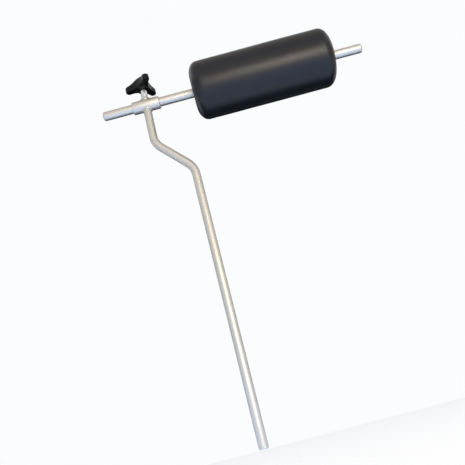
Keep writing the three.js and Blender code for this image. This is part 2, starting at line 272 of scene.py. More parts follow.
def circle(radius: float, count: int, lean: Callable[[float, float], Vector]) -> list[Vector]:
    """Place the points of a circle through a function of its own plane.

    Args:
        radius: Radius in millimetres.
        count: Number of points.
        lean: Function that turns a point's two coordinates into a place in metres.

    Returns:
        The points in order.
    """
    turns = [math.tau * index / count for index in range(count)]
    return [lean(radius * math.cos(angle), radius * math.sin(angle)) for angle in turns]


def publish(
    shape: BMesh, name: str, node: str, body: str, material: bpy.types.Material,
    crease: float = 35.0,
) -> bpy.types.Object:
    """Turn a mesh into a finished piece that stands for a CAD node.

    Args:
        shape: Mesh of the piece, which is used up.
        name: Name of the piece.
        node: CAD node that it stands for.
        body: CAD body that it rides on.
        material: Its finish.
        crease: Angle, in degrees, above which an edge stays sharp in the shading.

    Returns:
        The piece.
    """
    mesh = bpy.data.meshes.new(name)
    shape.to_mesh(mesh)
    shape.free()
    mesh.shade_smooth()
    mesh.set_sharp_from_angle(angle=math.radians(crease))
    mesh.materials.append(material)
    piece = bpy.data.objects.new(name, mesh)
    bpy.context.scene.collection.objects.link(piece)
    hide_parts(node)
    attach(piece, body)
    log.info("%s: %d faces, stands for %s on body %s", name, len(mesh.polygons), node, body)
    return piece


# ---------------------------------------------------------------- material tools


def linear(code: int) -> Colour:
    """Turn an sRGB hex colour into the linear values that shaders use.

    Args:
        code: Colour such as 0xD8D5CF.

    Returns:
        Linear red, green, blue and an alpha of 1.
    """
    channels = []
    for shift in (16, 8, 0):
        value = ((code >> shift) & 255) / 255
        channels.append(value / 12.92 if value <= 0.04045 else ((value + 0.055) / 1.055) ** 2.4)
    return channels[0], channels[1], channels[2], 1.0


def add_node(
    tree: bpy.types.NodeTree, kind: str, inputs: dict | None = None, **settings,
) -> bpy.types.Node:
    """Add a shader node with its settings and links.

    Args:
        tree: Node tree to add to.
        kind: Type of node, without the ShaderNode prefix.
        inputs: Input names or numbers, each with an output to link or a value to set.
        **settings: Properties of the node itself.

    Returns:
        The node.
    """
    node = tree.nodes.new("ShaderNode" + kind)
    for key, value in settings.items():
        setattr(node, key, value)
    for key, value in (inputs or {}).items():
        if isinstance(value, bpy.types.NodeSocket):
            tree.links.new(value, node.inputs[key])
        else:
            node.inputs[key].default_value = value
    return node


def start_material(name: str) -> tuple[bpy.types.Material, bpy.types.NodeTree, bpy.types.NodeSocket]:
    """Start an empty material that reads object coordinates.

    Args:
        name: Name of the material.

    Returns:
        The material, its tree and the object coordinates.
    """
    material = bpy.data.materials.new(name)
    material.use_nodes = True
    tree = material.node_tree
    tree.nodes.clear()
    return material, tree, add_node(tree, "TexCoord").outputs["Object"]


def end_material(tree: bpy.types.NodeTree, inputs: dict) -> None:
    """Finish a material with a Principled shader that has the given inputs."""
    shader = add_node(tree, "BsdfPrincipled", inputs)
    add_node(tree, "OutputMaterial", {"Surface": shader.outputs["BSDF"]})


def grain(
    tree: bpy.types.NodeTree, place: bpy.types.NodeSocket, size: Sequence[float], detail: float = 3.0,
) -> bpy.types.NodeSocket:
    """Add noise whose blobs have a real size along each axis.

    Args:
        tree: Node tree to add to.
        place: Coordinates in metres.
        size: Size of a blob along X, Y and Z, in millimetres.
        detail: Octaves of finer noise on top.

    Returns:
        The noise, from 0 to 1.
    """
    scale = tuple(1.0 / (length * MM) for length in size)
    mapped = add_node(tree, "Mapping", {"Vector": place, "Scale": scale})
    return add_node(
        tree, "TexNoise", {"Vector": mapped.outputs["Vector"], "Scale": 1.0, "Detail": detail}
    ).outputs["Fac"]


def cells(
    tree: bpy.types.NodeTree, place: bpy.types.NodeSocket, size: float,
) -> bpy.types.NodeSocket:
    """Add a pattern of rounded cells of a real size.

    Args:
        tree: Node tree to add to.
        place: Coordinates in metres.
        size: Size of a cell, in millimetres.

    Returns:
        The distance from the middle of the nearest cell, in cells.
    """
    mapped = add_node(tree, "Mapping", {"Vector": place, "Scale": (1 / (size * MM),) * 3})
    pattern = add_node(tree, "TexVoronoi", {"Vector": mapped.outputs["Vector"], "Scale": 1.0})
    return pattern.outputs["Distance"]


def spread(
    tree: bpy.types.NodeTree, value: bpy.types.NodeSocket, low: float, high: float,
    start: float = 0.3, end: float = 0.7,
) -> bpy.types.NodeSocket:
    """Spread a pattern between two values.

    Args:
        tree: Node tree to add to.
        value: Pattern, from 0 to 1.
        low: Result where the pattern is at start or under.
        high: Result where it is at end or over.
        start: Lower end of the pattern's used range.
        end: Upper end of it.

    Returns:
        The spread value.
    """
    return add_node(tree, "MapRange", {
        "Value": value, "From Min": start, "From Max": end, "To Min": low, "To Max": high,
    }).outputs["Result"]


def blend_colours(
    tree: bpy.types.NodeTree, share: bpy.types.NodeSocket, first: Colour, second: Colour,
) -> bpy.types.NodeSocket:
    """Mix two colours by a pattern.

    Args:
        tree: Node tree to add to.
        share: Share of the second colour.
        first: Colour where the share is 0.
        second: Colour where it is 1.

    Returns:
        The mixed colour.
    """
    ramp = add_node(tree, "ValToRGB", {"Fac": share})
    ramp.color_ramp.elements[0].color = first
    ramp.color_ramp.elements[1].color = second
    return ramp.outputs["Color"]


def relief(
    tree: bpy.types.NodeTree, height: bpy.types.NodeSocket, depth: float,
    under: bpy.types.NodeSocket | None = None,
) -> bpy.types.NodeSocket:
    """Turn a height pattern into a bump.

    Args:
        tree: Node tree to add to.
        height: Pattern, from 0 to 1.
        depth: Height of the relief, in millimetres.
        under: Normal that this bump lies on.

    Returns:
        The bumped normal.
    """
    inputs = {"Height": height, "Distance": depth * MM, "Strength": 1.0}
    if under is not None:
        inputs["Normal"] = under
    return add_node(tree, "Bump", inputs).outputs["Normal"]


def plainly_seen(tree: bpy.types.NodeTree) -> bpy.types.NodeSocket:
    """Tell the rays that show a surface, which are camera, glossy and transmission rays.

    Args:
        tree: Node tree to add to.

    Returns:
        1 for those rays and 0 for the rays that only light other surfaces.
    """
    rays = add_node(tree, "LightPath").outputs
    seen = add_node(tree, "Math", {0: rays["Is Camera Ray"], 1: rays["Is Glossy Ray"]},
                    operation="MAXIMUM")
    through = add_node(tree, "Math", {0: seen.outputs[0], 1: rays["Is Transmission Ray"]},
                       operation="MAXIMUM")
    return through.outputs[0]


# ---------------------------------------------------------------- finishes


@dataclass(frozen=True)
class GroundSteel:
    """Stainless round stock, centreless ground and then polished to a satin.

    The wheel leaves fine lines round the rod, and handling leaves faint cloudy marks.
    """

    colour: int = 0xDBD8D2
    shade: int = 0xCFCBC4
    roughness: float = 0.48
    cloud: float = 0.06
    line_depth: float = 0.0004
    # Grinding lines are a few hundredths of a millimetre; drawn at 0.5 mm so that they show.
    line_pitch: float = 0.5
    line_length: float = 60.0
    # Handling marks, along the rod and round it.
    mark_length: float = 70.0
    mark_width: float = 16.0

    def material(self, name: str, axis: Axis) -> bpy.types.Material:
        """Make the finish for stock that lies along an axis.

        Args:
            name: Name of the material.
            axis: Axis of the rod, which the lines run round.

        Returns:
            The material.
        """
        material, tree, place = start_material(name)
        lines = (self.line_pitch, self.line_length, self.line_length)
        marks = (self.mark_length, self.mark_width, self.mark_width)
        lies_along_x = axis is Axis.BAR
        line = grain(tree, place, lines if lies_along_x else lines[::-1], detail=2.0)
        cloud = grain(tree, place, marks if lies_along_x else marks[::-1], detail=4.0)
        end_material(tree, {
            "Base Color": blend_colours(tree, cloud, linear(self.colour), linear(self.shade)),
            "Metallic": 1.0,
            "Roughness": spread(tree, cloud, self.roughness, self.roughness + self.cloud),
            "Normal": relief(tree, line, self.line_depth),
        })
        return material


@dataclass(frozen=True)
class TurnedMetal:
    """Small metal piece left as the lathe or the press made it, bright but with fine tool marks."""

    colour: int
    roughness: float
    grain_size: float = 1.2
    grain_depth: float = 0.004

    def material(self, name: str) -> bpy.types.Material:
        """Make the finish.

        Args:
            name: Name of the material.

        Returns:
            The material.
        """
        material, tree, place = start_material(name)
        marks = grain(tree, place, (self.grain_size,) * 3)
        end_material(tree, {
            "Base Color": linear(self.colour),
            "Metallic": 1.0,
            "Roughness": spread(tree, marks, self.roughness - 0.05, self.roughness + 0.08),
            "Normal": relief(tree, marks, self.grain_depth),
        })
        return material


@dataclass(frozen=True)
class WeldBead:
    """Weld metal brushed bright after welding, with a trace of straw tint left in the hollows."""

    colour: int = 0xCFCCC6
    tint: int = 0xB3AA98
    roughness: float = 0.3
    patch_size: float = 2.5
    patch_depth: float = 0.02

    def material(self, name: str) -> bpy.types.Material:
        """Make the finish.

        Args:
            name: Name of the material.

        Returns:
            The material.
        """
        material, tree, place = start_material(name)
        patches = grain(tree, place, (self.patch_size,) * 3, detail=4.0)
        tinted = spread(tree, patches, 0.0, 1.0, start=0.5, end=0.8)
        end_material(tree, {
            "Base Color": blend_colours(tree, tinted, linear(self.colour), linear(self.tint)),
            "Metallic": 1.0,
            "Roughness": spread(tree, patches, self.roughness, self.roughness + 0.15),
            "Normal": relief(tree, patches, self.patch_depth),
        })
        return material


@dataclass(frozen=True)
class MouldedPlastic:
    """Moulded plastic: even colour, with the faint ripple and dulling of a used surface."""

    colour: int
    roughness: float
    ior: float = 1.5
    ripple_size: float = 3.0
    ripple_depth: float = 0.01
    rub_size: float = 11.0
    worn: float = 0.1

    def material(self, name: str) -> bpy.types.Material:
        """Make the finish.

        Args:
            name: Name of the material.

        Returns:
            The material.
        """
        material, tree, place = start_material(name)
        ripple = grain(tree, place, (self.ripple_size,) * 3, detail=2.0)
        rub = grain(tree, place, (self.rub_size,) * 3, detail=5.0)
        end_material(tree, {
            "Base Color": linear(self.colour),
            "IOR": self.ior,
            "Roughness": spread(
                tree, rub, self.roughness, self.roughness + self.worn, start=0.4, end=0.75
            ),
            "Normal": relief(tree, ripple, self.ripple_depth),
        })
        return material


@dataclass(frozen=True)
class CoatedCover:
    """Black polyurethane-coated cover: a tight satin skin with a fine embossed grain.

    The coat is smooth enough to show one broad soft highlight along the roller.
    """

    colour: int = 0x070B1A
    faded: int = 0x0B101F
    roughness: float = 0.37
    ior: float = 1.47
    # The embossed grain is about 0.7 mm across.
    grain_size: float = 0.7
    grain_depth: float = 0.012
    # Slow waves of the foam under the skin.
    wave_size: float = 42.0
    wave_stretch: float = 1.6
    wave_depth: float = 0.12
    # Patches that hands and bedding have rubbed a little duller.
    wear_length: float = 60.0
    wear_width: float = 25.0

    def material(self, name: str) -> bpy.types.Material:
        """Make the finish.

        Args:
            name: Name of the material.

        Returns:
            The material.
        """
        material, tree, place = start_material(name)
        pebbles = cells(tree, place, self.grain_size)
        waves = (self.wave_size * self.wave_stretch, self.wave_size, self.wave_size)
        wave = grain(tree, place, waves, detail=1.0)
        wear = grain(tree, place, (self.wear_length, self.wear_width, self.wear_width), detail=5.0)
        waved = relief(tree, wave, self.wave_depth)
        end_material(tree, {
            "Base Color": blend_colours(tree, wear, linear(self.colour), linear(self.faded)),
            "IOR": self.ior,
            "Roughness": spread(tree, wear, self.roughness - 0.03, self.roughness + 0.05),
            "Normal": relief(tree, pebbles, self.grain_depth, waved),
        })
        return material


@dataclass(frozen=True)
class OpenFoam:
    """Pale polyurethane foam: dull, with open cells about a millimetre across."""

    colour: int = 0xD9D0AE
    roughness: float = 0.95
    cell_size: float = 1.1
    cell_depth: float = 0.4

    def material(self, name: str) -> bpy.types.Material:
        """Make the finish.

        Args:
            name: Name of the material.

        Returns:
            The material.
        """
        material, tree, place = start_material(name)
        end_material(tree, {
            "Base Color": linear(self.colour),
            "Roughness": self.roughness,
            "Normal": relief(tree, cells(tree, place, self.cell_size), self.cell_depth),
        })
        return material


@dataclass
class Finishes:
    """Every finish of the object, made once."""

    post: bpy.types.Material = field(
        default_factory=lambda: GroundSteel().material("satin_stainless_post", Axis.POST))
    bar: bpy.types.Material = field(
        default_factory=lambda: GroundSteel(roughness=0.44).material("polished_stainless_bar", Axis.BAR))
    sleeve: bpy.types.Material = field(
        default_factory=lambda: GroundSteel(roughness=0.46).material("satin_stainless_sleeve", Axis.BAR))
    boss: bpy.types.Material = field(
        default_factory=lambda: GroundSteel(roughness=0.46).material("satin_stainless_boss", Axis.POST))
    weld: bpy.types.Material = field(default_factory=lambda: WeldBead().material("brushed_weld_bead"))
    stud: bpy.types.Material = field(
        default_factory=lambda: TurnedMetal(0xDDDCDA, 0.24).material("bright_turned_steel"))
    spring: bpy.types.Material = field(
        default_factory=lambda: TurnedMetal(0x4A4B4E, 0.4).material("phosphated_spring_steel"))
    brass: bpy.types.Material = field(
        default_factory=lambda: TurnedMetal(0xC9A257, 0.3).material("turned_brass"))
    knob: bpy.types.Material = field(
        default_factory=lambda: MouldedPlastic(0x040A06, 0.36, ior=1.3).material("black_moulded_phenolic"))
    bush: bpy.types.Material = field(
        default_factory=lambda: MouldedPlastic(0xDCDBD5, 0.4).material("white_acetal"))
    core: bpy.types.Material = field(
        default_factory=lambda: MouldedPlastic(0x8D9093, 0.45).material("grey_extruded_abs"))
    foam: bpy.types.Material = field(default_factory=lambda: OpenFoam().material("open_cell_foam"))
    cover: bpy.types.Material = field(
        default_factory=lambda: CoatedCover().material("black_polyurethane_cover"))


# ---------------------------------------------------------------- sub-assemblies


@dataclass
class Post:
    """Round rod with two bends, from its foot up to the saddle under the sleeve."""

    head: Vector
    radius: float = sizes_of("post").y / 2
    sleeve_radius: float = sizes_of("cross_sleeve").z / 2
    bend_radius: float = 42.0
    # Where the straight runs would cross at each bend, as drops below the bar's axis.
    upper_drop: float = 88.5
    lower_drop: float = 159.5
    foot_rounding: float = 1.5
    facets: int = 64
    bend_steps: int = 24

    def path(self) -> list[tuple[Vector, float]]:
        """Work out the axis above the foot.

        Returns:
            Points with the lean of the axis from upright at each, in radians.
        """
        offset = -self.head.x / MM
        height = self.head.z / MM
        bend = math.atan2(offset, self.lower_drop - self.upper_drop)
        setback = self.bend_radius * math.tan(bend / 2)
        leans = [bend * step / self.bend_steps for step in range(self.bend_steps + 1)]
        low = height - self.lower_drop - setback
        high = height - self.upper_drop + setback
        sweep = self.bend_radius
        lower = [
            (Vector((-sweep * (1 - math.cos(t)), 0, low + sweep * math.sin(t))) * MM, t)
            for t in leans
        ]
        upper = [
            (Vector((-offset + sweep * (1 - math.cos(t)), 0, high - sweep * math.sin(t))) * MM, t)
            for t in reversed(leans)
        ]
        return lower + upper

    def section(self, centre: Vector, lean: float, radius: float) -> list[Vector]:
        """Place one ring of the rod.

        Args:
            centre: Point on the axis, in metres.
            lean: Lean of the axis from upright, in radians.
            radius: Radius of the ring, in millimetres.

        Returns:
            The ring's points.
        """
        across = Vector((math.cos(lean), 0, math.sin(lean)))
        deep = Vector((0, 1, 0))
        return circle(radius, self.facets, lambda a, b: centre + (across * a + deep * b) * MM)

    def saddle(self) -> list[Vector]:
        """Place the top ring, which follows the sleeve's underside.

        Returns:
            The ring's points.
        """
        def under_sleeve(a: float, b: float) -> Vector:
            """Project a point of the rod's section up onto the sleeve."""
            return self.head + Vector((a, b, -math.sqrt(self.sleeve_radius ** 2 - b ** 2))) * MM
        return circle(self.radius, self.facets, under_sleeve)

    def rings(self) -> list[list[Vector]]:
        """List the rings of the whole rod, from the foot up.

        Returns:
            The rings, each with its points.
        """
        quarter = quarter_turn(4)
        rounding = self.foot_rounding
        foot = [
            self.section(
                Vector((0, 0, rounding * (1 - math.cos(t)) * MM)), 0.0,
                self.radius - rounding * (1 - math.sin(t)),
            )
            for t in quarter
        ]
        body = [self.section(centre, lean, self.radius) for centre, lean in self.path()]
        return [*foot, *body, self.saddle()]

    def build(self, finish: Finishes) -> None:
        """Build the rod."""
        publish(loft(self.rings()), "post_rod", "post", "post", finish.post)


@dataclass
class Head:
    """Sleeve across the post's top, the boss on it, and the beads that hold them together."""

    head: Vector
    length: float = sizes_of("cross_sleeve").x
    radius: float = sizes_of("cross_sleeve").z / 2
    bore: float = sizes_of("bar").z / 2 + RUNNING_GAP
    screw_hole: float = sizes_of("clamp_stud").y / 2 + RUNNING_GAP
    post_radius: float = sizes_of("post").y / 2
    boss_radius: float = sizes_of("clamp_boss").y / 2
    bead: float = 1.7
    bead_inset: float = 0.5
    bead_facets: int = 16
    # Each dab of weld is about as long as this along the bead, and leans as it is laid.
    dab_pitch: float = 1.9
    dab_lean: float = 0.35
    dab_ripple: float = 0.045
    bead_waver: float = 0.07
    chamfer: float = 0.8
    edge: float = 0.25

    def tube(self) -> BMesh:
        """Turn the sleeve, chamfered inside and out at both ends.

        Returns:
            The sleeve's mesh.
        """
        half = self.length / 2
        shape = turn(ring([
            (self.bore + self.chamfer, -half),
            (self.radius - self.chamfer, -half),
            (self.radius, self.chamfer - half),
            (self.radius, half - self.chamfer),
            (self.radius - self.chamfer, half),
            (self.bore + self.chamfer, half),
            (self.bore, half - self.chamfer),
            (self.bore, self.chamfer - half),
        ]), Axis.BAR, self.head, steps=128)
        soften(shape, self.edge, segments=2)
        return shape

    def drilled(self, shape: BMesh) -> BMesh:
        """Cut the screw's hole through the sleeve's upper wall.

        Args:
            shape: Mesh of the sleeve, which is used up.

        Returns:
            The drilled mesh.
        """
        top = self.radius * 2
        drill = turn([(0, 0), (self.screw_hole, 0), (self.screw_hole, top), (0, top)],
                     Axis.POST, self.head, steps=48)
        objects = []
        for label, part in (("blank", shape), ("drill", drill)):
            mesh = bpy.data.meshes.new(label)
            part.to_mesh(mesh)
            part.free()
            made = bpy.data.objects.new(label, mesh)
            bpy.context.scene.collection.objects.link(made)
            objects.append(made)
        blank, cutter = objects
        modifier = blank.modifiers.new("hole", "BOOLEAN")
        modifier.operation = "DIFFERENCE"
        modifier.solver = "EXACT"
        modifier.object = cutter
        bpy.context.view_layer.update()
        result = bmesh.new()
        result.from_object(blank, bpy.context.evaluated_depsgraph_get())
        for made in objects:
            mesh = made.data
            bpy.data.objects.remove(made)
            bpy.data.meshes.remove(mesh)
        return result

    def boss(self) -> BMesh:
        """Turn the boss and bring its lower end down onto the sleeve.

        Returns:
            The boss's mesh.
        """
        top = (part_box("clamp_boss")[1].z - self.head.z) / MM
        shape = turn(ring([
            (self.screw_hole, self.radius),
            (self.boss_radius, self.radius),
            (self.boss_radius, top - self.chamfer),
            (self.boss_radius - self.chamfer, top),
            (self.screw_hole + self.chamfer, top),
            (self.screw_hole, top - self.chamfer),
        ]), Axis.POST, self.head, steps=96)
        for spot in shape.verts:
            across = spot.co.y - self.head.y
            if spot.co.z < self.head.z + (self.radius + 0.1) * MM:
                spot.co.z = self.head.z + math.sqrt((self.radius * MM) ** 2 - across ** 2)
        return shape

    def weld(self, leg_radius: float, side: int) -> BMesh:
        """Make the bead round a round leg that meets the sleeve.

        Args:
            leg_radius: Radius of the leg, in millimetres.
            side: 1 above the sleeve and -1 below it.

        Returns:
            The bead, with the ripples that each dab of weld leaves.
        """
        reach = leg_radius + self.bead_inset
        seat = self.radius + self.bead_inset
        section = ring([
            (reach + self.bead * math.cos(t), self.bead * math.sin(t))
            for t in (math.tau * step / self.bead_facets for step in range(self.bead_facets))
        ])
        shape = turn(section, Axis.POST, self.head, steps=180)
        dabs = round(math.tau * reach / self.dab_pitch)
        for spot in shape.verts:
            place = (spot.co - self.head) / MM
            angle = math.atan2(place.y, place.x)
            ripple = 1.0 + self.dab_ripple * math.sin(dabs * angle + self.dab_lean * place.z)
            round_leg = Vector((math.cos(angle), math.sin(angle), side)) * 2.0
            swell = ripple + self.bead_waver * noise.noise(round_leg)
            radial = reach + (math.hypot(place.x, place.y) - reach) * swell
            drop = math.sqrt(seat ** 2 - (reach * math.sin(angle)) ** 2)
            spot.co = self.head + Vector((
                radial * math.cos(angle), radial * math.sin(angle), place.z * swell + side * drop,
            )) * MM
        return shape

    def build(self, finish: Finishes) -> None:
        """Build the sleeve, the boss and both beads.

        Args:
            finish: Finishes of the object.
        """
        publish(self.drilled(self.tube()), "sleeve_tube", "cross_sleeve", "post",
                finish.sleeve)
        publish(self.boss(), "screw_boss", "clamp_boss", "post",
                finish.boss, crease=25.0)
        publish(self.weld(self.post_radius, -1), "bead_under_sleeve", "post_weld", "post",
                finish.weld, crease=80.0)
        publish(self.weld(self.boss_radius, 1), "bead_on_sleeve", "boss_weld", "post",
                finish.weld, crease=80.0)


@dataclass
class ClampScrew:
    """Threaded stud, the brass pad at its end and the metal hub that it stands in."""

    head: Vector
    pitch: float = 1.5
    major: float = sizes_of("clamp_stud").y / 2
    thread_depth: float = 0.92
    # Where the root ends, the crest starts, the crest ends and the root starts, in pitches.
    thread_form: tuple[float, float, float, float] = (0.14, 0.44, 0.56, 0.86)
    tip_chamfer: float = 1.0
    pip: float = 1.8
    pip_length: float = 1.6
    # The hub's foot: a chamfer, a land and a shallow groove, as insets from its radius at heights.
    hub_foot: tuple[tuple[float, float], ...] = (
        (0.9, 0.0), (0.1, 0.8), (0.1, 1.8), (0.5, 2.2), (0.5, 2.9), (0.0, 3.4),
    )
    socket_chamfer: float = 0.5
    edge: float = 0.15
    facets: int = 64

    def height(self, place: Vector) -> float:
        """Measure how far a place is above the bar's axis, in millimetres."""
        return (place.z - self.head.z) / MM

    def thread(self, low: float, high: float) -> BMesh:
        """Wind the stud's thread between two heights.

        Args:
            low: Lower end above the bar's axis, in millimetres.
            high: Upper end.

        Returns:
            The closed threaded rod.
        """
        root = self.major - self.thread_depth
        leave, rise, fall, land = self.thread_form
        crest = [(root, 0.0), (root, leave), (self.major, rise), (self.major, fall), (root, land)]
        turns = math.ceil((high - low) / self.pitch) + 2
        spots_at = [
            (radius, low - self.pitch + (turn_index + share) * self.pitch)
            for turn_index in range(turns) for radius, share in crest
        ]
        shape = bmesh.new()
        spots = [shape.verts.new(self.head + Vector((radius, 0, z)) * MM) for radius, z in spots_at]
        edges = [shape.edges.new(pair) for pair in zip(spots, spots[1:])]
        bmesh.ops.spin(
            shape, geom=spots + edges, cent=self.head, axis=Axis.POST.value,
            dvec=(0, 0, self.pitch * MM / self.facets), angle=math.tau, steps=self.facets,
            use_merge=False, use_normal_flip=False, use_duplicate=False,
        )
        bmesh.ops.remove_doubles(shape, verts=shape.verts, dist=0.002 * MM)
        for level, keep_above in ((low, True), (high, False)):
            cut = bmesh.ops.bisect_plane(
                shape, geom=[*shape.verts, *shape.edges, *shape.faces], dist=1e-7,
                plane_co=self.head + Vector((0, 0, level)) * MM, plane_no=(0, 0, 1),
                clear_inner=keep_above, clear_outer=not keep_above,
            )["geom_cut"]
            rim = [part for part in cut if isinstance(part, bmesh.types.BMEdge)]
            bmesh.ops.edgeloop_fill(shape, edges=rim)
        bmesh.ops.recalc_face_normals(shape, faces=shape.faces)
        return shape

    def stud(self) -> BMesh:
        """Make the stud: its thread, a chamfered tip and the pip that holds the brass pad.

        Returns:
            The stud's mesh.
        """
        low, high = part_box("clamp_stud")
        tip = self.height(low) + self.pip_length
        shape = self.thread(tip, self.height(high))
        for spot in shape.verts:
            place = spot.co - self.head
            room = (self.major - self.tip_chamfer + self.height(spot.co) - tip) * MM
            radius = math.hypot(place.x, place.y)
            if radius > room:
                spot.co.x = self.head.x + place.x * room / radius
                spot.co.y = self.head.y + place.y * room / radius
        bottom = self.height(low)
        pip = turn([(0, bottom), (self.pip, bottom), (self.pip, tip), (0, tip)],
                   Axis.POST, self.head, steps=32)
        add_mesh(shape, pip)
        return shape

    def pad(self) -> BMesh:
        """Make the brass pad, hollowed below to the bar's round.

        Returns:
            The pad's mesh.
        """
        radius = sizes_of("thrust_pad").y / 2
        bar = sizes_of("bar").z / 2 + RUNNING_GAP
        top = self.height(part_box("thrust_pad")[1])
        socket = self.pip + RUNNING_GAP
        shape = turn([
            (0, bar), (radius, bar), (radius, top), (socket, top), (socket, top - self.pip_length),
            (0, top - self.pip_length),
        ], Axis.POST, self.head, steps=64)
        for spot in shape.verts:
            across = (spot.co.y - self.head.y) / MM
            if self.height(spot.co) < bar + 0.01:
                spot.co.z = self.head.z + math.sqrt(bar ** 2 - across ** 2) * MM
        return shape

    def hub(self) -> BMesh:
        """Turn the hub, with a shallow groove near its foot and a chamfer on its edge.

        Returns:
            The hub's mesh.
        """
        low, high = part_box("knob_hub")
        radius = sizes_of("knob_hub").y / 2
        foot, top = self.height(low), self.height(high)
        socket = self.major + RUNNING_GAP
        depth = self.height(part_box("clamp_stud")[1]) + RUNNING_GAP
        shape = turn([
            (0, depth), (socket, depth), (socket, foot + self.socket_chamfer),
            (socket + self.socket_chamfer, foot),
            *((radius - inset, foot + rise) for inset, rise in self.hub_foot),
            (radius, top), (0, top),
        ], Axis.POST, self.head, steps=96)
        soften(shape, self.edge, segments=2)
        return shape

    def build(self, finish: Finishes) -> None:
        """Build the stud, its pad and the hub.

        Args:
            finish: Finishes of the object.
        """
        publish(self.stud(), "threaded_stud", "clamp_stud", "knob",
                finish.stud, crease=45.0)
        publish(self.pad(), "brass_thrust_pad", "thrust_pad", "thrust_pad",
                finish.brass)
        publish(self.hub(), "turned_hub", "knob_hub", "knob", finish.stud)


